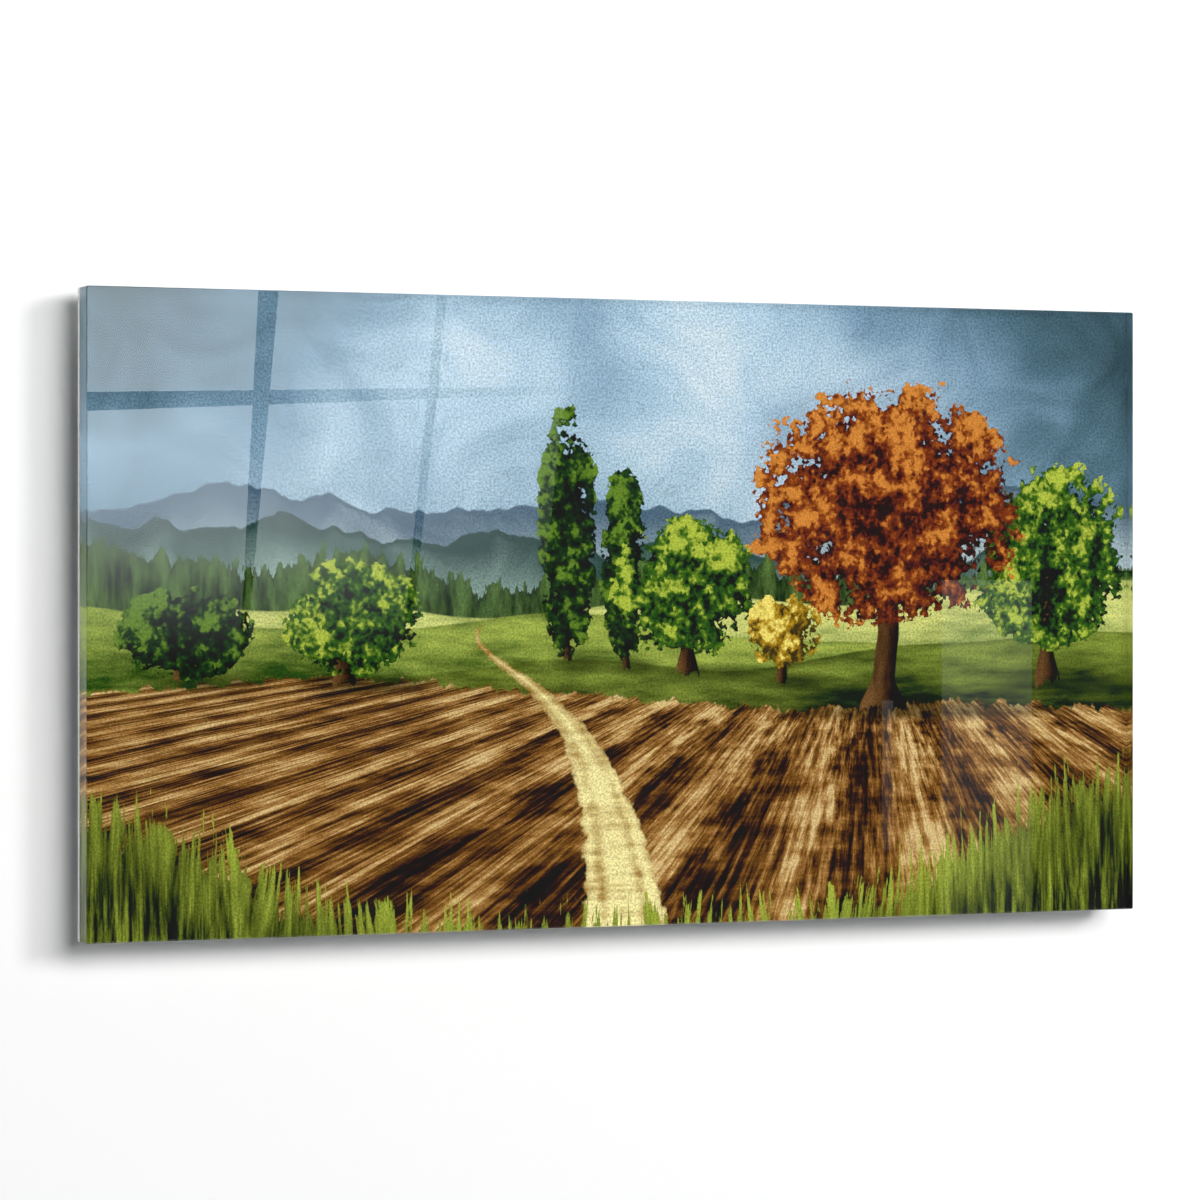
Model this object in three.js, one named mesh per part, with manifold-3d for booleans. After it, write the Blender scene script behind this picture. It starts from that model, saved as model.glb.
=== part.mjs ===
// Acrylic wall print: a picture film bonded behind a thick clear acrylic sheet, stiffened by an aluminium
// composite board and hung on a mitred channel frame that stays out of sight behind it.
//
// Millimetres. X runs to the right and Z up for someone facing the picture, which looks along -Y.
// The wall is on the +Y side. The origin is the middle of the bearing face inside the top rail,
// where the wall hooks carry the panel.
import * as THREE from 'three';
import { mergeVertices } from 'three/addons/utils/BufferGeometryUtils.js';
import Module from 'manifold-3d';

const wasm = await Module();
wasm.setup();

// Driving dimensions of the panel
const PANEL_WIDTH = 600;
const PANEL_HEIGHT = 330;
const CORNER_RADIUS = 1;
const EDGE_CHAMFER = 0.5;

// Layers from the front to the back
const ACRYLIC_THICKNESS = 12;
const FILM_THICKNESS = 0.25;
const SKIN_THICKNESS = 0.25;
const CORE_THICKNESS = 2.5;
const TAPE_THICKNESS = 1;

// Channel rail that makes the hanging frame
const FRAME_INSET = 45;
const RAIL_WIDTH = 22;
const RAIL_DEPTH = 10;
const RAIL_WALL = 1.5;
const RAIL_LIP = 5;
const RAIL_STRETCHES = 3;

// Small pieces that sit on or in the channel
const TAPE_WIDTH = 16;
const TAPE_END_MARGIN = 6;
const KEY_LEG = 48;
const KEY_THICKNESS = 3;
const SCREW_DIAMETER = 4;
const SCREW_FROM_CORNER = 36;
const SOCKET_DIAMETER = 2;
const SOCKET_DEPTH = 1.8;
const SCREW_BEVEL = 0.5;
const BUMPER_LENGTH = 18;
const BUMPER_FROM_CORNER = 78;
const BUMPER_HEAD_WIDTH = 16;
const BUMPER_HEAD_THICKNESS = 2.2;
const BUMPER_HEAD_RADIUS = 1.2;

// Gap between pieces that are fitted to each other
const CLEARANCE = 0.3;

// Facets of each rounded corner, and around a screw
const ARC_STEPS = 4;
const SCREW_FACETS = 16;

// Faces of the stack along Y, worked out from the rail, whose middle depth is the origin
const railFrontY = -RAIL_DEPTH / 2;
const railRearY = RAIL_DEPTH / 2;
const boardRearY = railFrontY - TAPE_THICKNESS;
const coreRearY = boardRearY - SKIN_THICKNESS;
const frontSkinRearY = coreRearY - CORE_THICKNESS;
const filmRearY = frontSkinRearY - SKIN_THICKNESS;
const acrylicRearY = filmRearY - FILM_THICKNESS;

// The hanging frame in front view. The bearing face is the underside of the top rail's outer flange.
const frameWidth = PANEL_WIDTH - 2 * FRAME_INSET;
const frameHeight = PANEL_HEIGHT - 2 * FRAME_INSET;
const frameCentreZ = RAIL_WALL - frameHeight / 2;
const channelWidth = RAIL_WIDTH - 2 * RAIL_WALL;
const mouthWidth = RAIL_WIDTH - 2 * RAIL_LIP;
const innerWidth = channelWidth - 2 * CLEARANCE;
const lipFrontY = railRearY - RAIL_WALL;

const materials = {
  acrylic: { color: 0xe9f1f2, roughness: 0.04, metalness: 0, transparent: true, opacity: 0.35 },
  film: { color: 0x7f8d76, roughness: 0.5, metalness: 0 },
  lacquer: { color: 0xd9dbdc, roughness: 0.4, metalness: 0.3 },
  core: { color: 0xc9cac8, roughness: 0.7, metalness: 0 },
  tape: { color: 0x8d8f90, roughness: 0.9, metalness: 0 },
  rail: { color: 0xc4c7ca, roughness: 0.35, metalness: 1 },
  key: { color: 0xa7a9a8, roughness: 0.45, metalness: 1 },
  screw: { color: 0x6e6f72, roughness: 0.4, metalness: 1 },
  rubber: { color: 0x232324, roughness: 0.85, metalness: 0 },
};

const panel = new THREE.Group();
const frame = new THREE.Group();
frame.position.z = frameCentreZ;
panel.add(frame);

function addPiece(parent, name, geometry, finish) {
  const mesh = new THREE.Mesh(geometry, new THREE.MeshStandardMaterial(materials[finish]));
  mesh.name = name;
  parent.add(mesh);
  return mesh;
}

// A rectangle with rounded corners, centred on the origin of its own plane
function roundedRectangle(width, height, radius) {
  const x = width / 2 - radius;
  const y = height / 2 - radius;
  const shape = new THREE.Shape();
  shape.absarc(x, y, radius, 0, Math.PI / 2);
  shape.absarc(-x, y, radius, Math.PI / 2, Math.PI);
  shape.absarc(-x, -y, radius, Math.PI, 1.5 * Math.PI);
  shape.absarc(x, -y, radius, 1.5 * Math.PI, 2 * Math.PI);
  return shape;
}

// A front-view outline given thickness: its rear face is at y = 0 and its front at y = -thickness
function slab(outline, thickness, chamfer = 0) {
  const geometry = new THREE.ExtrudeGeometry(outline, {
    depth: thickness - 2 * chamfer,
    curveSegments: ARC_STEPS,
    bevelEnabled: chamfer > 0,
    bevelThickness: chamfer,
    bevelSize: chamfer,
    bevelOffset: -chamfer,
    bevelSegments: 1,
  });
  geometry.translate(0, 0, chamfer);
  return geometry.rotateX(Math.PI / 2);
}

// Solid of a closed geometry, and the geometry of a solid, for joining pieces
function toSolid(geometry) {
  const bare = geometry.clone();
  bare.deleteAttribute('normal');
  bare.deleteAttribute('uv');
  const merged = mergeVertices(bare);
  const vertProperties = new Float32Array(merged.attributes.position.array);
  const triVerts = new Uint32Array(merged.index.array);
  return new wasm.Manifold(new wasm.Mesh({ numProp: 3, vertProperties, triVerts }));
}

function toGeometry(solid) {
  const { vertProperties, triVerts } = solid.getMesh();
  const geometry = new THREE.BufferGeometry();
  geometry.setAttribute('position', new THREE.BufferAttribute(vertProperties, 3));
  geometry.setIndex(new THREE.BufferAttribute(triVerts, 1));
  geometry.computeVertexNormals();
  return geometry;
}

// The clear sheet is chamfered round its front only. The extrusion chamfers both faces, so a plain slab
// fills the rear half out to the full outline, where the film is bonded.
const panelOutline = roundedRectangle(PANEL_WIDTH, PANEL_HEIGHT, CORNER_RADIUS);

function acrylicSheet() {
  const chamfered = toSolid(slab(panelOutline, ACRYLIC_THICKNESS, EDGE_CHAMFER));
  const rearHalf = toSolid(slab(panelOutline, ACRYLIC_THICKNESS / 2));
  return toGeometry(chamfered.add(rearHalf));
}

// The laminated panel: clear sheet, printed film and the three layers of the composite board
const layers = [
  ['acrylic_sheet', acrylicSheet(), acrylicRearY, 'acrylic'],
  ['picture_film', slab(panelOutline, FILM_THICKNESS), filmRearY, 'film'],
  ['backing_front_skin', slab(panelOutline, SKIN_THICKNESS), frontSkinRearY, 'lacquer'],
  ['backing_core', slab(panelOutline, CORE_THICKNESS), coreRearY, 'core'],
  ['backing_rear_skin', slab(panelOutline, SKIN_THICKNESS), boardRearY, 'lacquer'],
];
for (const [name, geometry, rearY, finish] of layers) {
  const layer = addPiece(frame, name, geometry, finish);
  layer.position.y = rearY;
}

// Section of the channel: x is the distance in from the outer flange, y the depth from the web's front
function channelSection() {
  const lipStart = RAIL_DEPTH - RAIL_WALL;
  const half = [
    [0, 0],
    [0, RAIL_DEPTH],
    [RAIL_LIP, RAIL_DEPTH],
    [RAIL_LIP, lipStart],
    [RAIL_WALL, lipStart],
    [RAIL_WALL, RAIL_WALL],
  ];
  const otherHalf = half.map(([x, y]) => [RAIL_WIDTH - x, y]).reverse();
  return new THREE.Shape([...half, ...otherHalf].map(([x, y]) => new THREE.Vector2(x, y)));
}

// A rail along X with its outer flange at z = reach. Both ends are cut back at 45 degrees, so that
// four rails turned round the frame's centre meet in mitres. It is made in three stretches, and the
// bearing face of the middle one is clear of the bumpers and corner keys.
function mitredRail(length, reach) {
  const settings = { depth: length, steps: RAIL_STRETCHES, bevelEnabled: false };
  const geometry = new THREE.ExtrudeGeometry(channelSection(), settings);
  const position = geometry.attributes.position;
  for (let i = 0; i < position.count; i += 1) {
    const inward = position.getX(i);
    const depth = position.getY(i);
    const along = position.getZ(i) / length;
    const end = length / 2 - inward - CLEARANCE / 2;
    position.setXYZ(i, (2 * along - 1) * end, railFrontY + depth, reach - inward);
  }
  geometry.computeVertexNormals();
  return geometry;
}

// A strip of tape along X under the middle of a rail, stopping short of the neighbouring rails' strips
function tapeStrip(length, reach) {
  const stripLength = length - 2 * (RAIL_WIDTH + TAPE_END_MARGIN);
  const geometry = new THREE.BoxGeometry(stripLength, TAPE_THICKNESS, TAPE_WIDTH);
  return geometry.translate(0, railFrontY - TAPE_THICKNESS / 2, reach - RAIL_WIDTH / 2);
}

const sides = [
  ['top', 0, frameWidth, frameHeight],
  ['right', Math.PI / 2, frameHeight, frameWidth],
  ['bottom', Math.PI, frameWidth, frameHeight],
  ['left', -Math.PI / 2, frameHeight, frameWidth],
];
for (const [side, turn, length, span] of sides) {
  addPiece(frame, `rail_${side}`, mitredRail(length, span / 2), 'rail').rotation.y = turn;
  addPiece(frame, `tape_${side}`, tapeStrip(length, span / 2), 'tape').rotation.y = turn;
}

// Corner key: an angle plate inside two channels. The frame's corner is at the origin, and the legs run
// along -x and -y, which become -X and -Z.
const channelEdge = RAIL_WALL + CLEARANCE;
const channelMiddle = RAIL_WIDTH / 2;
const keyRearY = lipFrontY - CLEARANCE;
const keyFrontY = keyRearY - KEY_THICKNESS;

function cornerKey() {
  const near = -channelEdge;
  const far = -(channelEdge + innerWidth);
  const outline = new THREE.Shape([
    new THREE.Vector2(near, near),
    new THREE.Vector2(-KEY_LEG, near),
    new THREE.Vector2(-KEY_LEG, far),
    new THREE.Vector2(far, far),
    new THREE.Vector2(far, -KEY_LEG),
    new THREE.Vector2(near, -KEY_LEG),
  ]);
  for (const [x, y] of screwPlaces()) {
    const hole = new THREE.Path();
    hole.absarc(x, y, SCREW_DIAMETER / 2 + CLEARANCE, 0, 2 * Math.PI, true);
    outline.holes.push(hole);
  }
  return slab(outline, KEY_THICKNESS).translate(0, keyRearY, 0);
}

// The two screws of a key, one in each leg, in the middle of the channel's mouth
function screwPlaces() {
  return [
    [-SCREW_FROM_CORNER, -channelMiddle],
    [-channelMiddle, -SCREW_FROM_CORNER],
  ];
}

// Grub screw: it stands on the web, passes through the key and has a socket in its rear end
function grubScrew() {
  const radius = SCREW_DIAMETER / 2;
  const socket = SOCKET_DIAMETER / 2;
  const start = railFrontY + RAIL_WALL + CLEARANCE;
  const end = keyRearY + CLEARANCE;
  const profile = [
    [0, start],
    [radius - SCREW_BEVEL, start],
    [radius, start + SCREW_BEVEL],
    [radius, end - SCREW_BEVEL],
    [radius - SCREW_BEVEL, end],
    [socket, end],
    [socket, end - SOCKET_DEPTH],
    [0, end - SOCKET_DEPTH],
  ];
  return new THREE.LatheGeometry(profile.map(([x, y]) => new THREE.Vector2(x, y)), SCREW_FACETS);
}

// Bumper: a rubber section with a foot inside the channel, a neck through its mouth and a head on the wall
function bumper() {
  const foot = innerWidth / 2;
  const neck = mouthWidth / 2 - CLEARANCE;
  const head = BUMPER_HEAD_WIDTH / 2;
  const headFrontY = railRearY + CLEARANCE;
  const arcX = head - BUMPER_HEAD_RADIUS;
  const arcY = headFrontY + BUMPER_HEAD_THICKNESS - BUMPER_HEAD_RADIUS;
  const section = new THREE.Shape();
  section.moveTo(-foot, keyFrontY);
  section.lineTo(foot, keyFrontY);
  section.lineTo(foot, keyRearY);
  section.lineTo(neck, keyRearY);
  section.lineTo(neck, headFrontY);
  section.lineTo(head, headFrontY);
  section.absarc(arcX, arcY, BUMPER_HEAD_RADIUS, 0, Math.PI / 2);
  section.absarc(-arcX, arcY, BUMPER_HEAD_RADIUS, Math.PI / 2, Math.PI);
  section.lineTo(-head, headFrontY);
  section.lineTo(-neck, headFrontY);
  section.lineTo(-neck, keyRearY);
  section.lineTo(-foot, keyRearY);
  const settings = { depth: BUMPER_LENGTH, bevelEnabled: false, curveSegments: ARC_STEPS };
  const geometry = new THREE.ExtrudeGeometry(section, settings).translate(0, 0, -BUMPER_LENGTH / 2);
  return geometry.rotateY(Math.PI / 2);
}

// The four corners. A mirrored corner is the same key turned by a right angle in the frame's plane.
const corners = [
  ['top_right', 1, 1, 0],
  ['bottom_right', 1, -1, Math.PI / 2],
  ['bottom_left', -1, -1, Math.PI],
  ['top_left', -1, 1, -Math.PI / 2],
];
for (const [corner, sideX, sideZ, turn] of corners) {
  const joint = new THREE.Group();
  joint.position.set((sideX * frameWidth) / 2, 0, (sideZ * frameHeight) / 2);
  joint.rotation.y = turn;
  frame.add(joint);
  addPiece(joint, `corner_key_${corner}`, cornerKey(), 'key');
  screwPlaces().forEach(([x, z], index) => {
    const screw = addPiece(joint, `key_screw_${corner}_${index + 1}`, grubScrew(), 'screw');
    screw.position.set(x, 0, z);
  });
  const buffer = addPiece(frame, `bumper_${corner}`, bumper(), 'rubber');
  const bumperX = frameWidth / 2 - BUMPER_FROM_CORNER;
  const bumperZ = frameHeight / 2 - channelMiddle;
  buffer.position.set(sideX * bumperX, 0, sideZ * bumperZ);
}

export default panel;
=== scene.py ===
# %% [markdown]
# # Dressing an acrylic wall print
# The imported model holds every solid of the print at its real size: a thick clear sheet, the printed film
# behind it, a composite board and the hidden frame that hangs it. This lesson gives those solids their
# finish. Everything is in metres, in the same frame as the solids: the picture looks along -Y, +Z is up,
# and the wall is on the +Y side.

# %% Load the solids
from math import atan2, cos, isclose, pi, radians, sin

import bmesh
import bpy
from mathutils import Matrix, Vector
from mathutils.geometry import intersect_line_line


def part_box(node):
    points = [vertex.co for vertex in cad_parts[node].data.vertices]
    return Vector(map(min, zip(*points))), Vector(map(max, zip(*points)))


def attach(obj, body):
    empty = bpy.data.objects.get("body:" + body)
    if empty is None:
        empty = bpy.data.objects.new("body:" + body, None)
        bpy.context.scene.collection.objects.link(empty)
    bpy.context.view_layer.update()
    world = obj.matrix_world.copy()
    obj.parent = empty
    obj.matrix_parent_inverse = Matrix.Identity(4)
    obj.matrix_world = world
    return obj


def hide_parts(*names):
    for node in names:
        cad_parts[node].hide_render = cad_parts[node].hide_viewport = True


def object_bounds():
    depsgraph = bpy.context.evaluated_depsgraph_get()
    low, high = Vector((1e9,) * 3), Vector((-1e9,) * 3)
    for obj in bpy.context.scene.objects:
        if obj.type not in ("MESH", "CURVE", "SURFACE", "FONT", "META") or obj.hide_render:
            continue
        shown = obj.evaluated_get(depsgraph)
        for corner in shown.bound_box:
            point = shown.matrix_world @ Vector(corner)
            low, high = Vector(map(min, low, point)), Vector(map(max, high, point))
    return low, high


MM = 0.001
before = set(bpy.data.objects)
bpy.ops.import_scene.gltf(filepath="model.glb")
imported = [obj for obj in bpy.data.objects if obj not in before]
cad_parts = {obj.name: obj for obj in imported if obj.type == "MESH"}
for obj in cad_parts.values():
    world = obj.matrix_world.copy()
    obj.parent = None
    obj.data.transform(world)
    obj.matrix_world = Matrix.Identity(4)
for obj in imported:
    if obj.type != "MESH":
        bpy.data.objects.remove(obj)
cad_low, cad_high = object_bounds()
sheet_low, sheet_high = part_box("acrylic_sheet")
film_low, film_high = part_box("picture_film")
panel_width = sheet_high.x - sheet_low.x
panel_height = sheet_high.z - sheet_low.z
panel_middle = Vector((0.0, sheet_low.y, (sheet_low.z + sheet_high.z) / 2))
wall_y = cad_high.y
print("solids loaded:", len(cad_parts), "panel", round(panel_width, 3), "by", round(panel_height, 3))

# %% [markdown]
# ## Camera
# The photograph was taken from the left of the panel, level and with a long lens: the verticals stay
# vertical and the sides converge only a little. The place below was solved from the panel's four corners,
# and a small vertical shift puts the horizon where the photograph has it.

# %% Camera
CAMERA_TURN = radians(23.0)
CAMERA_LENS = 133.95
CAMERA_LEFT = 0.93704
CAMERA_AWAY = 2.15911
CAMERA_ABOVE = 0.02138
CAMERA_SHIFT_Y = -0.02328

camera_data = bpy.data.cameras.new("camera")
camera_data.lens = CAMERA_LENS
camera_data.sensor_width = 36.0
camera_data.shift_y = CAMERA_SHIFT_Y
camera_data.clip_end = 100.0
camera = bpy.data.objects.new("camera", camera_data)
camera.location = panel_middle + Vector((-CAMERA_LEFT, -CAMERA_AWAY, CAMERA_ABOVE))
camera.rotation_euler = (radians(90.0), 0.0, -CAMERA_TURN)
bpy.context.scene.collection.objects.link(camera)
bpy.context.scene.camera = camera
print("camera at", [round(value, 3) for value in camera.location])

# %% [markdown]
# ## A small hand for drawing node trees
# A material is a tree of small nodes. This helper adds one node at a time: an input that is given a socket
# is linked to it, and an input that is given a number or a colour holds that value. Colours are written the
# way a paint chart gives them, as six hexadecimal digits.

# %% Node helpers
def ink(code):
    """A colour written as six hexadecimal digits, as linear RGBA."""
    values = [int(code[i:i + 2], 16) / 255 for i in (0, 2, 4)]
    linear = [v / 12.92 if v <= 0.04045 else ((v + 0.055) / 1.055) ** 2.4 for v in values]
    return (*linear, 1.0)


class NodeSheet:
    """Adds nodes to one tree and returns the sockets that carry their results."""

    def __init__(self, tree):
        self.tree = tree

    def feed(self, socket, value):
        if isinstance(value, bpy.types.NodeSocket):
            self.tree.links.new(value, socket)
        else:
            socket.default_value = value

    def feed_all(self, node, inputs):
        for name, value in inputs.items():
            self.feed(node.inputs[name], value)

    def add(self, kind, inputs=None, **settings):
        node = self.tree.nodes.new("ShaderNode" + kind)
        for name, value in settings.items():
            setattr(node, name, value)
        self.feed_all(node, inputs or {})
        return node

    def math(self, operation, *values, clamp=False):
        inputs = dict(enumerate(values))
        return self.add("Math", inputs, operation=operation, use_clamp=clamp).outputs[0]

    def total(self, *values):
        result = values[0]
        for value in values[1:]:
            result = self.math("ADD", result, value)
        return result

    def scaled(self, value, factor, offset=0.0):
        return self.math("MULTIPLY_ADD", value, factor, offset)

    def swing(self, value, amount):
        """A pattern from 0 to 1, swung evenly about zero."""
        return self.scaled(value, amount, -amount / 2)

    def vector(self, operation, *values, output="Vector"):
        return self.add("VectorMath", dict(enumerate(values)), operation=operation).outputs[output]

    def rise(self, value, low, high):
        """0 at low, 1 at high, smooth between."""
        inputs = {"Value": value, "From Min": low, "From Max": high}
        return self.add("MapRange", inputs, interpolation_type="SMOOTHSTEP").outputs[0]

    def mix(self, share, under, over, blend="MIX"):
        # The sockets of a Mix node that mixes colours: its share, its two colours and its result
        node = self.add("Mix", data_type="RGBA", blend_type=blend)
        self.feed_all(node, {0: share, 6: under, 7: over})
        return node.outputs[2]

    def ramp(self, value, *stops):
        """A colour scale: each stop is a position and a colour code."""
        node = self.add("ValToRGB", {"Fac": value})
        points = node.color_ramp.elements
        while len(points) < len(stops):
            points.new(0.5)
        for point, (position, code) in zip(points, stops):
            point.position = position
            point.color = ink(code)
        return node.outputs["Color"]

    def noise(self, place, scale, detail=2.0, roughness=0.5, distortion=0.0, dimensions="3D"):
        inputs = {"Vector": place, "Scale": scale, "Detail": detail}
        inputs.update({"Roughness": roughness, "Distortion": distortion})
        return self.add("TexNoise", inputs, noise_dimensions=dimensions).outputs["Fac"]

    def length(self, vector):
        return self.vector("LENGTH", vector, output="Value")

    def split(self, place):
        return self.add("SeparateXYZ", {"Vector": place}).outputs

    def joined(self, x, y):
        return self.add("CombineXYZ", {"X": x, "Y": y}).outputs[0]

    def bump(self, height, strength, distance):
        """A normal that follows a height over the surface."""
        inputs = {"Height": height, "Strength": strength, "Distance": distance}
        return self.add("Bump", inputs).outputs["Normal"]

    def place(self, group, **inputs):
        node = self.add("Group", node_tree=group)
        self.feed_all(node, inputs)
        return node.outputs

    def surface(self, node):
        """Makes a shader node the one that the material shows."""
        self.feed(self.tree.nodes["Material Output"].inputs["Surface"], node.outputs[0])


print("a colour in linear light:", [round(value, 3) for value in ink("9fb1b7")])

# %% [markdown]
# ## Groups and materials
# An effect that several finishes share is drawn once, as a group with named inputs and outputs, and placed in
# each of them. Every finish starts from the same general shader and reads its patterns from the place on the
# object, so they stay put when it moves.

# %% Groups and materials
def effect_group(name, inputs, outputs):
    """A shader node group with named sockets: its tree and sheet, and the sockets coming in and going out."""
    tree = bpy.data.node_groups.new(name, "ShaderNodeTree")
    for label, kind in inputs.items():
        tree.interface.new_socket(label, in_out="INPUT", socket_type="NodeSocket" + kind)
    for label, kind in outputs.items():
        tree.interface.new_socket(label, in_out="OUTPUT", socket_type="NodeSocket" + kind)
    start = tree.nodes.new("NodeGroupInput").outputs
    end = tree.nodes.new("NodeGroupOutput").inputs
    return tree, NodeSheet(tree), start, end


def new_material(name):
    """A material with one Principled shader: the material, its sheet and the shader."""
    material = bpy.data.materials.new(name)
    material.use_nodes = True
    tree = material.node_tree
    return material, NodeSheet(tree), tree.nodes["Principled BSDF"]


def object_place(sheet):
    return sheet.add("TexCoord").outputs["Object"]


print("materials so far:", len(bpy.data.materials))

# %% [markdown]
# ## Wall and floor
# The print hangs on a plain white wall, so the set is one sheet: a wall that curves into a pale floor. The
# wall is painted on its room side only: seen from behind it is clear, and behind the panel it lets light
# and gleams through, so the frame on the back can be looked at without taking the wall away. Far from the
# panel the sheet fades into an even backdrop. The floor throws no light back, because the photograph's
# shadow stays dark below.

# %% Wall and floor
ROOM_HALF_WIDTH = 9.0
WALL_TOP = 5.0
FLOOR_DROP = 1.5
FLOOR_REACH = 14.0
COVE_RADIUS = 0.5
BOUNCE_LINE = 1.0
BACKDROP_FADE = (1.2, 4.0)
BACKDROP_COLOUR = (0.84, 0.845, 0.85, 1.0)
REAR_OPENING = 0.47


def new_piece(name, bm):
    """An object from a bmesh, at the origin, with its place in its mesh."""
    mesh = bpy.data.meshes.new(name)
    bm.to_mesh(mesh)
    bm.free()
    piece = bpy.data.objects.new(name, mesh)
    bpy.context.scene.collection.objects.link(piece)
    return piece


def bevel(bm, edges, offset, segments):
    bmesh.ops.bevel(
        bm, geom=edges, offset=offset, affect="EDGES", segments=segments, profile=0.5, material=-1
    )


def room_sweep():
    bm = bmesh.new()
    floor_z = cad_low.z - FLOOR_DROP
    line = [(wall_y - FLOOR_REACH, floor_z), (wall_y, floor_z), (wall_y, WALL_TOP)]
    verts = [bm.verts.new((-ROOM_HALF_WIDTH, y, z)) for y, z in line]
    edges = [bm.edges.new(pair) for pair in zip(verts, verts[1:])]
    made = bmesh.ops.extrude_edge_only(bm, edges=edges)
    across = [item for item in made["geom"] if isinstance(item, bmesh.types.BMVert)]
    bmesh.ops.translate(bm, verts=across, vec=(2 * ROOM_HALF_WIDTH, 0, 0))
    corner = [edge for edge in bm.edges if len(edge.link_faces) == 2]
    bevel(bm, corner, COVE_RADIUS, 12)
    bmesh.ops.recalc_face_normals(bm, faces=bm.faces)
    if max(bm.faces, key=lambda face: face.calc_center_median().z).normal.y > 0:
        bmesh.ops.reverse_faces(bm, faces=bm.faces)
    for face in bm.faces:
        face.smooth = True
    return new_piece("room_sweep", bm)


def wall_paint():
    material, sheet, shader = new_material("wall_paint")
    sheet.feed_all(shader, {"Base Color": ink("f7f7f6"), "Roughness": 0.9, "Specular IOR Level": 0.1})
    place = object_place(sheet)
    path = sheet.add("LightPath").outputs
    distance = sheet.vector("DISTANCE", place, tuple(panel_middle), output="Value")
    far = sheet.math("MULTIPLY", sheet.rise(distance, *BACKDROP_FADE), path["Is Camera Ray"])
    backdrop = sheet.add("Emission", {"Color": BACKDROP_COLOUR})
    seen = sheet.add("MixShader", {0: far, 1: shader.outputs[0], 2: backdrop.outputs[0]})
    behind = sheet.add("NewGeometry").outputs["Backfacing"]
    centred = sheet.vector("SUBTRACT", place, tuple(panel_middle))
    off = sheet.split(sheet.vector("ABSOLUTE", centred))
    hidden_x = sheet.math("LESS_THAN", off["X"], panel_width * REAR_OPENING)
    hidden_z = sheet.math("LESS_THAN", off["Z"], panel_height * REAR_OPENING)
    hidden = sheet.math("MULTIPLY", hidden_x, hidden_z)
    gleam = sheet.math("MULTIPLY", path["Is Glossy Ray"], hidden)
    passing = sheet.math("MAXIMUM", path["Is Shadow Ray"], gleam)
    first_light = sheet.math("SUBTRACT", passing, path["Diffuse Depth"], clamp=True)
    first_bounce = sheet.math("LESS_THAN", path["Diffuse Depth"], 1.5)
    from_back = sheet.math("MULTIPLY", sheet.math("MULTIPLY", path["Is Diffuse Ray"], first_bounce), hidden)
    first_light = sheet.math("MAXIMUM", first_light, from_back)
    low = sheet.math("LESS_THAN", sheet.split(place)["Z"], cad_low.z - BOUNCE_LINE)
    floor_bounce = sheet.math("MULTIPLY", path["Is Diffuse Ray"], low)
    open_side = sheet.math("MAXIMUM", behind, sheet.math("MAXIMUM", first_light, floor_bounce))
    clear = sheet.add("BsdfTransparent").outputs[0]
    sheet.surface(sheet.add("MixShader", {0: open_side, 1: seen.outputs[0], 2: clear}))
    return material


room = room_sweep()
room.data.materials.append(wall_paint())
print("room sweep faces:", len(room.data.polygons))

# %% [markdown]
# ## Softboxes
# The shadow on the wall lies to the left of the print and below it. It is dark at the edge and fades over
# about the depth of the panel. That takes two lights: a large softbox nearly straight ahead and a little
# above, and a smaller one further to the right. Their places and powers were fitted to the shadow's fading.
# The room itself is dim, and dimmer in the gloss. A third softbox lights the back for the views from there.

# %% Softboxes
KEY_POWER = 164.0
KEY_SIZE = 3.0
KEY_PLACE = Vector((0.74, -4.37, 1.36))
SIDE_POWER = 117.0
SIDE_SIZE = 1.43
SIDE_PLACE = Vector((2.84, -3.75, 1.37))
REAR_POWER = 45.0
REAR_SIZE = 1.8
REAR_PLACE = Vector((-1.4, 2.2, 1.5))
FRONT_AMBIENT = 0.16
GLOSS_AMBIENT = 0.05
REAR_AMBIENT = 0.45
REAR_SIDE = (-0.2, 0.3)


def softbox(name, place, size, power):
    data = bpy.data.lights.new(name, "AREA")
    data.shape = "DISK"
    data.size = size
    data.energy = power
    light = bpy.data.objects.new(name, data)
    light.location = panel_middle + place
    light.rotation_euler = (-place).to_track_quat("-Z", "Y").to_euler()
    light.visible_camera = False
    bpy.context.scene.collection.objects.link(light)
    return light


def studio_world():
    """Dim light from the front, dimmer in the gloss, more from behind the wall, and a pale backdrop."""
    world = bpy.data.worlds.new("studio")
    world.use_nodes = True
    sheet = NodeSheet(world.node_tree)
    way = sheet.split(sheet.add("TexCoord").outputs["Generated"])
    path = sheet.add("LightPath").outputs
    rear_share = sheet.rise(way["Y"], *REAR_SIDE)
    front = sheet.scaled(path["Is Glossy Ray"], GLOSS_AMBIENT - FRONT_AMBIENT, FRONT_AMBIENT)
    front = sheet.math("MULTIPLY", front, sheet.math("SUBTRACT", 1.0, rear_share))
    ambient = sheet.math("MULTIPLY_ADD", rear_share, REAR_AMBIENT, front)
    seen_through = sheet.math("SUBTRACT", path["Is Transmission Ray"], path["Diffuse Depth"], clamp=True)
    seen = sheet.math("MAXIMUM", path["Is Camera Ray"], seen_through)
    colour = sheet.mix(seen, ink("f3f6fa"), BACKDROP_COLOUR)
    strength = sheet.math("MAXIMUM", ambient, seen)
    sheet.feed_all(world.node_tree.nodes["Background"], {"Color": colour, "Strength": strength})
    return world


for name, place, size, power in (
    ("key_softbox", KEY_PLACE, KEY_SIZE, KEY_POWER),
    ("side_softbox", SIDE_PLACE, SIDE_SIZE, SIDE_POWER),
):
    softbox(name, place, size, power).visible_glossy = False
softbox("rear_softbox", REAR_PLACE, REAR_SIZE, REAR_POWER)
bpy.context.scene.world = studio_world()
bpy.context.scene.view_settings.view_transform = "Standard"

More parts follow.
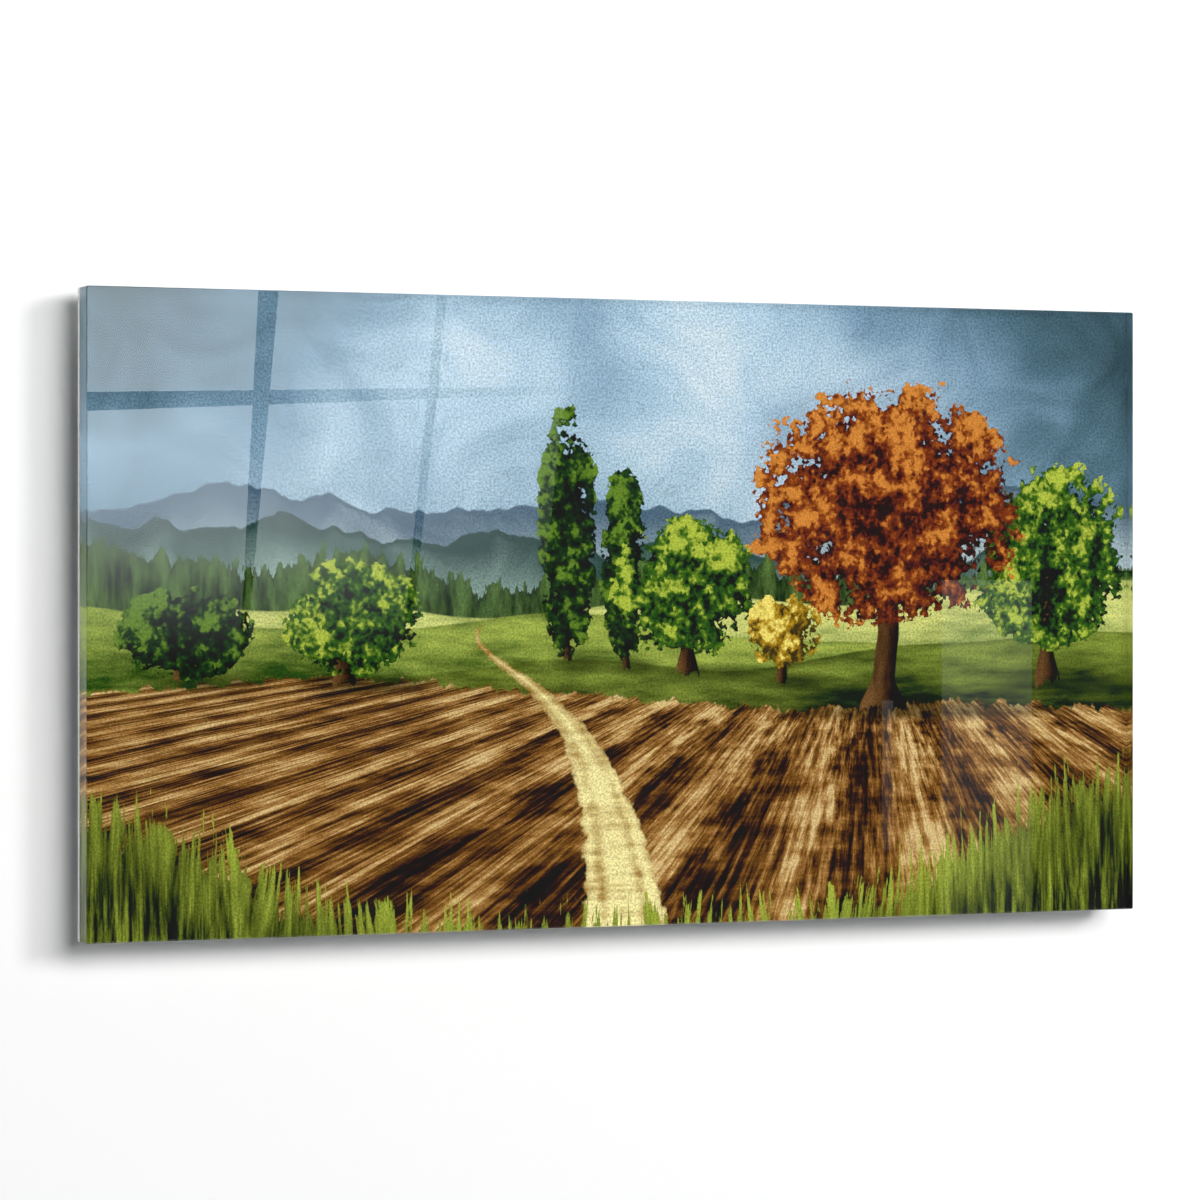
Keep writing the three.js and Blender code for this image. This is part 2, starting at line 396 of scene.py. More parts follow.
# %% [markdown]
# ## The window in the gloss
# The pale patches with darker bars in the glossy front are the mirror image of a window. Where its panes
# stand follows from the mirror law: put the camera behind the front face, as far back as it is in front, and
# look from there through a point of the picture into the room. The edges of the bars below are where they
# appear on the picture, in metres from its middle.

# %% Window
WINDOW_Y = -3.0
WINDOW_STRENGTH = 6.0
WINDOW_FADE_X = (-0.30, 0.03)
WINDOW_FADE_Z = (0.09, -0.03)
DOORWAY_STRENGTH = 3.2
# An upright's x at the top edge and at mid height, and a crossbar's z at the left edge and at the middle
UPRIGHTS = [
    (-0.330, -0.340), (-0.2093, -0.2183),
    (-0.1984, -0.2139), (-0.1119, -0.1294),
    (-0.1063, -0.1249), (-0.0334, -0.0550),
]
CROSSBARS = [(-0.040, -0.040), (0.1021, 0.1165), (0.1116, 0.1195), (0.190, 0.190)]
DOORWAY = [((0.181, 0.181), (0.2365, 0.2365)), ((-0.180, -0.180), (0.017, 0.017))]
DOOR_EDGE = [((0.1448, 0.1448), (0.1515, 0.1515)), ((-0.129, -0.129), (-0.048, -0.048))]
mirrored_camera = Vector((camera.location.x, 2 * sheet_low.y - camera.location.y, camera.location.z))


def crossing(upright, crossbar):
    """Where an upright and a crossbar meet on the picture."""
    half_height, half_width = panel_height / 2, panel_width / 2
    line = [Vector((upright[0], 0, half_height)), Vector((upright[1], 0, 0))]
    line += [Vector((-half_width, 0, crossbar[0])), Vector((0, 0, crossbar[1]))]
    return intersect_line_line(*line)[0]


def seen_in_gloss(spot):
    """The point of the window plane whose mirror image falls on this point of the picture."""
    way = panel_middle + spot - mirrored_camera
    return mirrored_camera + way * ((WINDOW_Y - mirrored_camera.y) / way.y)


def daylight(name, strength, fade_x, fade_z):
    """Light that fades across the window and down it, between places given on the picture."""
    material, sheet, _ = new_material(name)
    spot = sheet.split(object_place(sheet))
    left, right = [seen_in_gloss(Vector((x, 0, 0))).x for x in fade_x]
    top, bottom = [seen_in_gloss(Vector((0, 0, z))).z for z in fade_z]
    fade = sheet.math("MULTIPLY", sheet.rise(spot["X"], right, left), sheet.rise(spot["Z"], bottom, top))
    sheet.surface(sheet.add("Emission", {"Color": ink("eef5f8"), "Strength": sheet.scaled(fade, strength)}))
    return material


def window_pane(name, uprights, crossbars, material):
    bm = bmesh.new()
    corners = [(0, 0), (0, 1), (1, 1), (1, 0)]
    bm.faces.new([bm.verts.new(seen_in_gloss(crossing(uprights[i], crossbars[j]))) for i, j in corners])
    pane = new_piece(name, bm)
    pane.data.materials.append(material)
    pane.visible_camera = False
    pane.visible_diffuse = False


window_light = daylight("window_light", WINDOW_STRENGTH, WINDOW_FADE_X, WINDOW_FADE_Z)
doorway_light = daylight("doorway_light", DOORWAY_STRENGTH, (-5.0, 5.0), (0.2, -0.3))
for column in (0, 2, 4):
    for row in (0, 2):
        name = f"window_pane_{column // 2}_{row // 2}"
        window_pane(name, UPRIGHTS[column:column + 2], CROSSBARS[row:row + 2], window_light)
window_pane("doorway", *DOORWAY, doorway_light)
window_pane("door_edge", *DOOR_EDGE, doorway_light)
print("window from x", [round(seen_in_gloss(Vector((x, 0, 0))).x, 2) for x in WINDOW_FADE_X])

# %% [markdown]
# ## The picture: washes
# A watercolour is a stack of washes, each laid over the last: pale sky first, then far hills, fields and
# trees. The material works the same way. Every step takes the colour painted so far and returns the colour
# with one more wash on it. A wash knows how far each place is inside its shape, because pigment gathers
# along the edge of a wet patch and dries there as a darker rim.

# %% Wash
def wash_group():
    inputs = {"Under": "Color", "Inside": "Float", "Light": "Color", "Dark": "Color"}
    inputs.update({"Tone": "Float", "Soft": "Float", "Rim": "Float"})
    tree, sheet, start, end = effect_group("wash", inputs, {"Colour": "Color"})
    mask = sheet.rise(start["Inside"], 0.0, start["Soft"])
    rim = sheet.math("MULTIPLY", sheet.rise(start["Inside"], 0.05, 0.0), start["Rim"])
    tone = sheet.math("ADD", start["Tone"], rim, clamp=True)
    paint = sheet.mix(tone, start["Light"], start["Dark"])
    sheet.feed(end["Colour"], sheet.mix(mask, start["Under"], paint))
    return tree


wash = wash_group()
print("group:", wash.name, "with", len(wash.nodes), "nodes")

# %% [markdown]
# ## The picture: places and marks
# All of the picture is worked out from the place on the film, in decimetres from its middle, so it stays
# sharp at any size. The marks of the brush are noise patterns that several washes share: broad pools, slow
# blooms, sideways strokes, upright strokes, leaf dabs, and the tooth of the paper.

# %% Places and marks
DECIMETRES = (10.0, 10.0, 10.0)
DABS = 48.0


class Picture:
    """The places on the picture and the marks that its washes share."""

    def __init__(self, sheet):
        self.sheet = sheet
        centred = sheet.vector("SUBTRACT", object_place(sheet), tuple(panel_middle))
        place = sheet.split(sheet.vector("MULTIPLY", centred, DECIMETRES))
        self.across, self.up = place["X"], place["Z"]
        self.flat = sheet.joined(self.across, self.up)
        self.pools = self.mark((0.8, 1.0), 1.0, 3.0)
        self.blooms = self.mark((1.0, 1.3), 1.4, 5.0, 0.6, 0.8)
        self.strokes = self.mark((2.0, 10.0), 1.4, 4.0, 0.6)
        self.uprights = self.mark((13.0, 3.0), 1.0, 3.0, 0.65)
        self.masses = self.mark((1.0, 1.0), 4.6, 1.0)
        self.clumps = self.mark((1.0, 1.0), 13.0, 2.0, 0.6)
        self.tooth = self.mark((1.0, 1.0), 85.0, 2.0, 0.7)
        dabs = sheet.add("TexVoronoi", {"Vector": self.flat, "Scale": DABS}, voronoi_dimensions="2D")
        self.dabs = sheet.add("SeparateColor", {"Color": dabs.outputs["Color"]}).outputs

    def mark(self, stretch, scale, detail, roughness=0.5, distortion=0.0):
        place = self.sheet.vector("MULTIPLY", self.flat, (*stretch, 1.0))
        return self.sheet.noise(place, scale, detail, roughness, distortion, "2D")

    def ridge(self, base, slope, swing, pace, seed, detail=1.0):
        """The height of a hill's outline at each place across the picture."""
        inputs = {"W": self.sheet.scaled(self.across, pace, seed), "Scale": 1.0, "Detail": detail}
        bumps = self.sheet.add("TexNoise", inputs, noise_dimensions="1D").outputs["Fac"]
        level = self.sheet.scaled(bumps, 2 * swing, base - swing)
        return self.sheet.math("ADD", level, self.sheet.scaled(self.across, slope))

    def below(self, outline):
        return self.sheet.math("SUBTRACT", outline, self.up)

    def wash(self, under, inside, light, dark, tone, soft=0.012, rim=0.3):
        inputs = {"Under": under, "Inside": inside, "Light": ink(light), "Dark": ink(dark)}
        return self.sheet.place(wash, **inputs, Tone=tone, Soft=soft, Rim=rim)["Colour"]


print_finish, print_sheet, print_shader = new_material("picture_print")
picture = Picture(print_sheet)
print("nodes for places and marks:", len(print_sheet.tree.nodes))

# %% [markdown]
# ## The picture: sky and far hills
# The sky is one wet wash: cool grey-blue that pools darker towards the upper right and leaves a pale glow
# over the hills. Where drops ran back into it they left fine rims. The far hills are two thin washes that
# fade downwards into mist.

# %% Sky and far hills
SKY_GLOW = (-0.1, 0.7, 0.0)
SKY_GLOW_SCALE = (0.36, 0.6, 0.0)
FAR_HILLS = [
    # base, slope, swing, pace, seed, light, dark
    (0.60, 0.02, 0.42, 0.70, 3.1, "b4c3c9", "63798a"),
    (0.36, -0.04, 0.34, 0.90, 11.4, "9db1ab", "48615e"),
]


def paint_sky(picture):
    sheet = picture.sheet
    from_glow = sheet.vector("SUBTRACT", picture.flat, SKY_GLOW)
    from_glow = sheet.vector("MULTIPLY", from_glow, SKY_GLOW_SCALE)
    shade = sheet.rise(sheet.length(from_glow), 0.4, 1.3)
    tone = sheet.total(
        sheet.scaled(shade, 0.5, 0.26),
        sheet.swing(picture.pools, 0.5),
        sheet.swing(picture.blooms, 0.4),
        sheet.scaled(picture.up, 0.04),
    )
    stops = [(0.0, "e6ebe8"), (0.25, "bacedb"), (0.5, "8da8ba"), (0.75, "627d8a"), (1.0, "41565d")]
    colour = sheet.ramp(tone, *stops)
    rim = sheet.rise(sheet.math("ABSOLUTE", sheet.scaled(picture.blooms, 1.0, -0.54)), 0.01, 0.0)
    return sheet.mix(sheet.scaled(rim, 0.2), colour, ink("5f757f"))


def paint_far_hills(picture, colour):
    sheet = picture.sheet
    for base, slope, swing, pace, seed, light, dark in FAR_HILLS:
        inside = picture.below(picture.ridge(base, slope, swing, pace, seed, 5.0))
        tone = sheet.total(sheet.rise(inside, 0.45, 0.0), sheet.scaled(picture.blooms, 1.1, -0.62))
        colour = picture.wash(colour, inside, light, dark, tone, rim=0.35)
    return colour


colour = paint_far_hills(picture, paint_sky(picture))
print("nodes with sky and hills:", len(print_sheet.tree.nodes))

# %% [markdown]
# ## The picture: woods, meadows and the ploughed field
# The wood is a dark band whose top is broken by upright strokes. Three meadows roll in front of it, each
# lighter along its crest. The ploughed field takes the lower part, with tufts along its far edge. Its furrows
# run towards one far point, so they are straight lines once the place is divided by its nearness.

# %% Woods, meadows and field
MEADOWS = [
    # base, slope, swing, pace, seed, light, dark, shade
    (0.06, 0.02, 0.16, 0.55, 41.0, "d3d68c", "66813f", -0.1),
    (-0.10, -0.05, 0.18, 0.50, 53.5, "aebb62", "3c5a26", 0.05),
    (-0.26, 0.05, 0.14, 0.45, 66.0, "8f9d4c", "1e3313", 0.15),
]
FIELD_FAR_X = 1.4
FIELD_FAR_UP = 0.12
CLOD_STRETCH = (6.0, 5.0, 1.0)
GRAIN_STRETCH = (30.0, 5.0, 1.0)


def paint_woods(picture, colour):
    sheet = picture.sheet
    outline = picture.ridge(0.24, -0.02, 0.2, 0.8, 27.0, 2.0)
    inside = picture.below(sheet.math("ADD", outline, sheet.swing(picture.uprights, 0.4)))
    tone = sheet.total(sheet.scaled(picture.uprights, -1.7, 1.45), sheet.swing(picture.pools, -0.7))
    return picture.wash(colour, inside, "7d9a5c", "1b2f1a", tone, 0.02, 0.1)


def paint_meadows(picture, colour):
    sheet = picture.sheet
    for base, slope, swing, pace, seed, light, dark, shade in MEADOWS:
        inside = picture.below(picture.ridge(base, slope, swing, pace, seed))
        tone = sheet.total(
            sheet.scaled(sheet.rise(inside, 0.0, 0.4), 0.75, shade),
            sheet.swing(picture.strokes, 1.5),
            sheet.swing(picture.pools, 1.4),
        )
        colour = picture.wash(colour, inside, light, dark, tone)
    return colour


def paint_field(picture, colour):
    sheet = picture.sheet
    tufts = sheet.total(sheet.swing(picture.uprights, 0.12), sheet.swing(picture.clumps, 0.06))
    inside = picture.below(sheet.math("ADD", picture.ridge(-0.44, -0.03, 0.1, 0.4, 81.0), tufts))
    nearness = sheet.math("DIVIDE", 1.0, sheet.math("SUBTRACT", FIELD_FAR_UP, picture.up))
    fan = sheet.math("MULTIPLY", sheet.scaled(picture.across, 1.0, -FIELD_FAR_X), nearness)
    rows = sheet.joined(fan, nearness)
    clods = sheet.noise(sheet.vector("MULTIPLY", rows, CLOD_STRETCH), 1.0, 4.0, 0.65, 0.0, "2D")
    grain = sheet.noise(sheet.vector("MULTIPLY", rows, GRAIN_STRETCH), 1.0, 4.0, 0.7, 0.0, "2D")
    wave = sheet.math("SINE", sheet.total(sheet.scaled(fan, 11.0), sheet.scaled(clods, 3.4)))
    furrow = sheet.math("SUBTRACT", sheet.rise(wave, 0.1, 0.9), sheet.rise(wave, -0.2, -0.95))
    tone = sheet.total(
        sheet.scaled(furrow, 0.2, 0.3),
        sheet.swing(clods, 0.9),
        sheet.swing(grain, 1.7),
        sheet.swing(picture.strokes, 0.7),
        sheet.swing(picture.pools, 0.7),
        sheet.scaled(picture.up, -0.24, -0.06),
    )
    stops = [(0.0, "dcc594"), (0.25, "b48f59"), (0.5, "855f30"), (0.72, "4a3417"), (1.0, "140e07")]
    return sheet.mix(sheet.rise(inside, 0.0, 0.015), colour, sheet.ramp(tone, *stops))


colour = paint_meadows(picture, paint_woods(picture, colour))
colour = paint_field(picture, colour)
print("nodes with the land:", len(print_sheet.tree.nodes))

# %% [markdown]
# ## The picture: the track
# A pale track winds over the meadows and down across the field, wider as it comes nearer. Its bends tighten
# with distance, because they follow a wave of one over the nearness, and two ruts run along it.

# %% Track
def paint_track(picture, colour):
    sheet = picture.sheet
    nearness = sheet.math("SUBTRACT", 0.0, picture.up)
    bend = sheet.math("SINE", sheet.math("DIVIDE", 1.6, sheet.math("ADD", nearness, 0.24)))
    middle = sheet.math("MULTIPLY_ADD", bend, sheet.scaled(nearness, 0.5, 0.1), -0.72)
    half = sheet.total(sheet.scaled(nearness, 0.15, 0.003), sheet.swing(picture.clumps, 0.08))
    off = sheet.math("ABSOLUTE", sheet.math("SUBTRACT", picture.across, middle))
    inside = sheet.math("MINIMUM", sheet.math("SUBTRACT", half, off), sheet.scaled(nearness, 0.3))
    rut = sheet.math("ABSOLUTE", sheet.math("SUBTRACT", off, sheet.scaled(half, 0.5)))
    tone = sheet.total(
        sheet.scaled(picture.strokes, 2.0, -0.95),
        sheet.swing(picture.clumps, 0.8),
        sheet.scaled(sheet.rise(rut, 0.05, 0.0), 0.45),
    )
    return picture.wash(colour, inside, "efe6b0", "a98748", tone, 0.02, 0.5)


colour = paint_track(picture, colour)
print("nodes with the track:", len(print_sheet.tree.nodes))

# %% [markdown]
# ## The picture: trees
# Each tree is a trunk wash and a crown: leafy clumps break the crown's outline, and dabs of three paints
# model it, light where the sun comes from and dark on the far side. A soft shadow ties it to the ground.

# %% Trees
GREEN_LEAVES = ("b8c458", "4a7228", "122410")
DEEP_LEAVES = ("77933f", "254719", "0a1608")
RUSSET_LEAVES = ("d2944c", "8c4b24", "35190c")
GOLD_LEAVES = ("efdf84", "b3922c", "4f4312")
TREES = [
    # across, foot, crown middle, half width, half height, leaves
    (-0.36, -0.27, 0.42, 0.19, 0.74, DEEP_LEAVES),
    (-0.03, -0.29, 0.27, 0.16, 0.58, DEEP_LEAVES),
    (-2.46, -0.34, -0.10, 0.40, 0.27, DEEP_LEAVES),
    (-1.56, -0.37, -0.02, 0.42, 0.33, GREEN_LEAVES),
    (0.32, -0.33, 0.14, 0.46, 0.42, GREEN_LEAVES),
    (2.50, -0.40, 0.30, 0.58, 0.56, GREEN_LEAVES),
    (0.90, -0.38, -0.10, 0.25, 0.23, GOLD_LEAVES),
    (1.52, -0.54, 0.58, 0.90, 0.72, RUSSET_LEAVES),
]
SUN_SIDE = (-0.3, 0.45, 0.0)
CROWN_REACH = 0.85
CROWN_FALL = 3.0
SHADE_FLATNESS = 14.0


def crown_group():
    inputs = {"Under": "Color", "Away": "Vector", "Masses": "Float", "Clumps": "Float"}
    inputs.update({"Dab": "Float", "Other Dab": "Float"})
    inputs.update({"Light": "Color", "Middle": "Color", "Dark": "Color"})
    tree, sheet, start, end = effect_group("crown", inputs, {"Colour": "Color"})
    distance = sheet.length(start["Away"])
    inside = sheet.total(
        sheet.math("SUBTRACT", 1.0, distance),
        sheet.swing(start["Masses"], 1.3),
        sheet.swing(start["Clumps"], 1.1),
        sheet.swing(start["Dab"], 0.3),
    )
    beyond = sheet.math("MAXIMUM", sheet.scaled(distance, CROWN_FALL, -CROWN_FALL * CROWN_REACH), 0.0)
    inside = sheet.math("SUBTRACT", inside, beyond)
    facing = sheet.vector("DOT_PRODUCT", start["Away"], SUN_SIDE, output="Value")
    tone = sheet.total(
        sheet.scaled(facing, -0.55, 0.52),
        sheet.swing(start["Masses"], -1.5),
        sheet.swing(start["Clumps"], -1.9),
        sheet.swing(start["Other Dab"], 0.5),
    )
    leaf = sheet.mix(sheet.rise(tone, 0.0, 0.5), start["Light"], start["Middle"])
    leaf = sheet.mix(sheet.rise(tone, 0.4, 1.0), leaf, start["Dark"])
    sheet.feed(end["Colour"], sheet.mix(sheet.rise(inside, 0.0, 0.06), start["Under"], leaf))
    return tree


crown = crown_group()


def paint_tree(picture, colour, middle, foot, crown_middle, half, tall, leaves):
    sheet = picture.sheet
    offset = sheet.total(picture.across, sheet.scaled(picture.pools, 0.16, -middle - 0.08))
    over = sheet.scaled(picture.up, SHADE_FLATNESS, -SHADE_FLATNESS * foot)
    ground = sheet.joined(sheet.scaled(offset, 0.8 / half, -0.25), over)
    shade = sheet.rise(sheet.length(ground), 1.0, 0.2)
    colour = sheet.mix(sheet.scaled(shade, 0.6), colour, ink("16260f"))
    flare = sheet.rise(picture.up, foot + 0.2, foot)
    width = sheet.scaled(flare, half * 0.08, half * 0.075)
    side = sheet.math("SUBTRACT", width, sheet.math("ABSOLUTE", offset))
    root = sheet.total(picture.up, sheet.scaled(picture.uprights, 0.2, -foot - 0.1))
    ends = sheet.math("MINIMUM", picture.below(crown_middle), root)
    tone = sheet.total(sheet.scaled(offset, 5.0 / (half + 0.1), 0.2), sheet.scaled(picture.uprights, 0.9))
    colour = picture.wash(colour, sheet.math("MINIMUM", side, ends), "94714b", "1d110a", tone, 0.008, 0.2)
    away = sheet.vector("SUBTRACT", picture.flat, (middle, crown_middle, 0.0))
    away = sheet.vector("MULTIPLY", away, (1.0 / half, 1.0 / tall, 0.0))
    light, body, dark = [ink(code) for code in leaves]
    inputs = {"Under": colour, "Away": away, "Masses": picture.masses, "Clumps": picture.clumps}
    inputs.update({"Dab": picture.dabs[0], "Other Dab": picture.dabs[1]})
    inputs.update({"Light": light, "Middle": body, "Dark": dark})
    return sheet.place(crown, **inputs)["Colour"]


for tree in TREES:
    colour = paint_tree(picture, colour, *tree)
print("trees painted:", len(TREES))

# %% [markdown]
# ## The picture: grass in the near corners
# Tall grass closes the picture at the bottom. Its top is a low bank, higher towards both corners, broken by
# fine upright strokes. The same strokes pick the paint of each blade, from straw to deep green.

# %% Grass
BANK_LOW = -1.72
BANK_RISE = 0.75
BLADE_STRETCH = (26.0, 2.2, 1.0)


def paint_grass(picture, colour):
    sheet = picture.sheet
    lean = sheet.math("MULTIPLY", sheet.scaled(picture.up, 1.0, 1.9), picture.ridge(0.0, 0.0, 0.3, 1.7, 97.0))
    leaning = sheet.joined(sheet.math("ADD", picture.across, lean), picture.up)
    blades = sheet.noise(sheet.vector("MULTIPLY", leaning, BLADE_STRETCH), 1.0, 4.0, 0.65, 0.0, "2D")
    from_middle = sheet.math("ABSOLUTE", sheet.scaled(picture.across, 1.0, 0.1))
    bank = sheet.scaled(sheet.rise(from_middle, 0.9, 3.2), BANK_RISE, BANK_LOW)
    inside = picture.below(sheet.math("ADD", bank, sheet.scaled(blades, 1.0, -0.42)))
    tone = sheet.total(
        sheet.scaled(blades, -2.6, 1.75),
        sheet.scaled(sheet.rise(inside, 0.0, 0.5), 0.35),
        sheet.swing(picture.pools, 0.8),
    )
    return picture.wash(colour, inside, "a9b552", "0f200b", tone, 0.03, 0.0)


colour = paint_grass(picture, colour)
print("nodes with the grass:", len(print_sheet.tree.nodes))

# %% [markdown]
# ## The picture: the finished print
# Last comes the paper: pigment settles in its tooth, so every colour is mottled by fine grain. The print is
# run a little deeper and crisper than the painting, because the gloss in front of it lifts the darks. It is
# matt itself: the shine is the acrylic's.

# %% The finished print
PRINT_DEPTH = 1.25
PRINT_BRIGHT = 0.041
PRINT_CONTRAST = 0.1

settled = print_sheet.ramp(picture.tooth, (0.3, "c4c4c4"), (0.65, "ffffff"))
colour = print_sheet.mix(0.9, colour, settled, "MULTIPLY")
deep = print_sheet.add("Gamma", {"Color": colour, "Gamma": PRINT_DEPTH}).outputs["Color"]
levels = {"Color": deep, "Bright": PRINT_BRIGHT, "Contrast": PRINT_CONTRAST}
crisp = print_sheet.add("BrightContrast", levels).outputs["Color"]
matt = {"Roughness": print_sheet.scaled(picture.tooth, 0.15, 0.5), "Specular IOR Level": 0.1}
print_sheet.feed_all(print_shader, {"Base Color": crisp, **matt})
print("picture nodes:", len(print_sheet.tree.nodes))

# %% [markdown]
# ## The printed film
# The film is a thin sheet bonded to the back of the acrylic. A cube is stretched to its box and its four
# corners are rounded with a bevel. Its own map gives nearly the whole square to the printed front, so that a
# baked copy of the picture stays sharp.

# %% Film
CORNER_RADIUS = 1.0 * MM
CORNER_SEGMENTS = 4
FILM_TUCK = 0.02 * MM
BAKE_MAP = "OFBake"
PRINT_SHARE = 0.97


def rounded_slab(low, high):
    """A block between two corners, with its four corners rounded in front view."""
    bm = bmesh.new()
    size = high - low
    place = Matrix.Translation((low + high) / 2) @ Matrix.Diagonal((*size, 1.0))
    bmesh.ops.create_cube(bm, size=1.0, matrix=place)
    edges = [e for e in bm.edges if abs(e.verts[0].co.y - e.verts[1].co.y) > size.y / 2]
    bevel(bm, edges, CORNER_RADIUS, CORNER_SEGMENTS)
    return bm


def finish_piece(piece, slot, material, *nodes):
    """A new piece rides with the panel and stands for the solids that it was made from."""
    piece.data.materials.append(material)
    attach(piece, "root")
    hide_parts(*nodes)
    return piece


def printed_film():
    tuck = Vector((FILM_TUCK, 0, FILM_TUCK))
    bm = rounded_slab(film_low + tuck, film_high - tuck)
    layer = bm.loops.layers.uv.new(BAKE_MAP)
    strip = (1.0 - PRINT_SHARE) / 2
    for face in bm.faces:
        for loop in face.loops:
            u = (loop.vert.co.x - film_low.x) / panel_width
            v = (loop.vert.co.z - film_low.z) / panel_height
            depth = (loop.vert.co.y - film_low.y) / (film_high.y - film_low.y)
            if face.normal.y < -0.5:
                loop[layer].uv = (u, v * PRINT_SHARE)
            elif face.normal.y > 0.5:
                loop[layer].uv = (u, PRINT_SHARE + strip * (0.1 + 0.8 * v))
            else:
                loop[layer].uv = (0.5 * (u + v), PRINT_SHARE + strip * (1.1 + 0.8 * depth))
    return new_piece("printed_film", bm)


film = finish_piece(printed_film(), "print_film", print_finish, "picture_film")
print("film faces:", len(film.data.polygons))

# %% [markdown]
# ## Marks of handling
# Nothing that has been handled is even all over. This group gives a slow smudge and patches of fine, straight
# scratches that cross each other: noise drawn out along two ways, of which only the peaks are kept. Each
# finish takes what it needs of them: gloss loses some shine, metal gains bright lines.

# %% Handling marks
SCRATCH_TURNS = (0.5, -0.9)
SCRATCH_STRETCH = (1.5, 45.0, 45.0)


def handling_group():
    inputs = {"Place": "Vector", "Scale": "Float"}
    outputs = {"Smudge": "Float", "Scratch": "Float"}
    tree, sheet, start, end = effect_group("handling_marks", inputs, outputs)
    smudge = sheet.noise(start["Place"], start["Scale"], 3.0, 0.6)
    lines = []
    for turn in SCRATCH_TURNS:
        turned = sheet.add("VectorRotate", {"Vector": start["Place"], "Axis": (0.0, 1.0, 0.0), "Angle": turn})
        drawn_out = sheet.vector("MULTIPLY", turned.outputs[0], SCRATCH_STRETCH)
        lines.append(sheet.rise(sheet.noise(drawn_out, start["Scale"], 1.0), 0.7, 0.78))
    patch = sheet.rise(smudge, 0.45, 0.65)
    sheet.feed(end["Smudge"], smudge)
    sheet.feed(end["Scratch"], sheet.math("MULTIPLY", sheet.math("MAXIMUM", *lines), patch))
    return tree


handling = handling_group()
print("group:", handling.name, "with", len(handling.nodes), "nodes")

# %% [markdown]
# ## The acrylic sheet
# Cast acrylic is clear right through and polished on every face. The film is bonded to it with no air
# between, so a ray inside the sheet must meet the film first: the sheet reaches a tenth of a millimetre into
# the film. That is why the print shows through the side of the sheet too. The front edge has a small polished
# arris that catches the light as a thin line. Light on its way to the print passes straight through, less
# what the sheet keeps. Light that came in through the front can't leave through a side, because it meets the
# side too flatly and is turned back, so the sheet's edge casts a full shadow on the wall.

# %% Acrylic
ARRIS = 0.5 * MM
BOND_DEPTH = 0.1 * MM
ACRYLIC_IOR = 1.49
SHEET_COLOUR = (0.985, 0.994, 0.992, 1.0)
SHADOW_TINT = (0.64, 0.65, 0.65, 1.0)


def clear_sheet():
    bm = rounded_slab(sheet_low, sheet_high + Vector((0, BOND_DEPTH, 0)))
    front = [e for e in bm.edges if all(abs(v.co.y - sheet_low.y) < 1e-7 for v in e.verts)]
    bevel(bm, front, ARRIS, 2)
    return new_piece("clear_sheet", bm)


def clear_acrylic():
    material, sheet, shader = new_material("clear_acrylic")
    marks = sheet.place(handling, Place=object_place(sheet), Scale=9.0)
    haze = sheet.rise(marks["Smudge"], 0.45, 0.8)
    roughness = sheet.total(sheet.scaled(haze, 0.015, 0.003), sheet.scaled(marks["Scratch"], 0.04))
    sheet.feed_all(shader, {"Base Color": SHEET_COLOUR, "Roughness": roughness})
    sheet.feed_all(shader, {"IOR": ACRYLIC_IOR, "Transmission Weight": 1.0})
    shadow = sheet.add("LightPath").outputs["Is Shadow Ray"]
    surface = sheet.add("NewGeometry").outputs
    facing = sheet.math("ABSOLUTE", sheet.split(surface["Normal"])["Y"])
    facing = sheet.math("GREATER_THAN", facing, 0.5)
    open_face = sheet.math("MAXIMUM", facing, surface["Backfacing"])
    passed = sheet.mix(open_face, (0.0, 0.0, 0.0, 1.0), SHADOW_TINT)
    clear = sheet.add("BsdfTransparent", {"Color": passed}).outputs[0]
    sheet.surface(sheet.add("MixShader", {0: shadow, 1: shader.outputs[0], 2: clear}))
    return material


acrylic = finish_piece(clear_sheet(), "acrylic", clear_acrylic(), "acrylic_sheet")
print("acrylic faces:", len(acrylic.data.polygons))

# %% [markdown]
# ## The composite board
# Behind the film is a board of three layers: two thin lacquered aluminium skins and a light plastic core.
# These solids already have the right shape, so they keep it and only get a finish: a rolled lacquer with
# handling marks on the skins, and the marks of the saw across the core.

# %% Board
def lacquered_skin():
    material, sheet, shader = new_material("lacquered_skin")
    place = object_place(sheet)
    marks = sheet.place(handling, Place=place, Scale=7.0)
    rolled = sheet.noise(sheet.vector("MULTIPLY", place, (30.0, 30.0, 900.0)), 1.0, 2.0)
    tone = sheet.total(sheet.scaled(marks["Smudge"], 0.8, -0.1), sheet.scaled(rolled, 0.3))
    colour = sheet.ramp(tone, (0.2, "c3c6c8"), (0.8, "d9dbdb"))
    colour = sheet.mix(sheet.scaled(marks["Scratch"], 0.4), colour, ink("f0f1f1"))
    sheet.feed_all(shader, {"Base Color": colour, "Roughness": sheet.scaled(rolled, 0.2, 0.3)})
    sheet.feed_all(shader, {"Normal": sheet.bump(rolled, 0.15, 0.08 * MM)})
    return material


def sawn_core():
    material, sheet, shader = new_material("sawn_core")
    place = object_place(sheet)
    saw = sheet.noise(sheet.vector("MULTIPLY", place, (700.0, 60.0, 700.0)), 1.0, 2.0)
    blotch = sheet.noise(place, 60.0, 2.0)
    tone = sheet.total(sheet.scaled(saw, 0.7), sheet.scaled(blotch, 0.4, -0.05))
    colour = sheet.ramp(tone, (0.3, "c9c8c2"), (0.75, "ecebe6"))
    sheet.feed_all(shader, {"Base Color": colour, "Roughness": sheet.scaled(saw, 0.2, 0.5)})
    sheet.feed_all(shader, {"Normal": sheet.bump(saw, 0.3, 0.1 * MM)})
    return material


def refinish(name, material):
    """A solid that keeps its shape gets a new finish."""
    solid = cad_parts[name]
    solid.data.materials.clear()
    solid.data.materials.append(material)


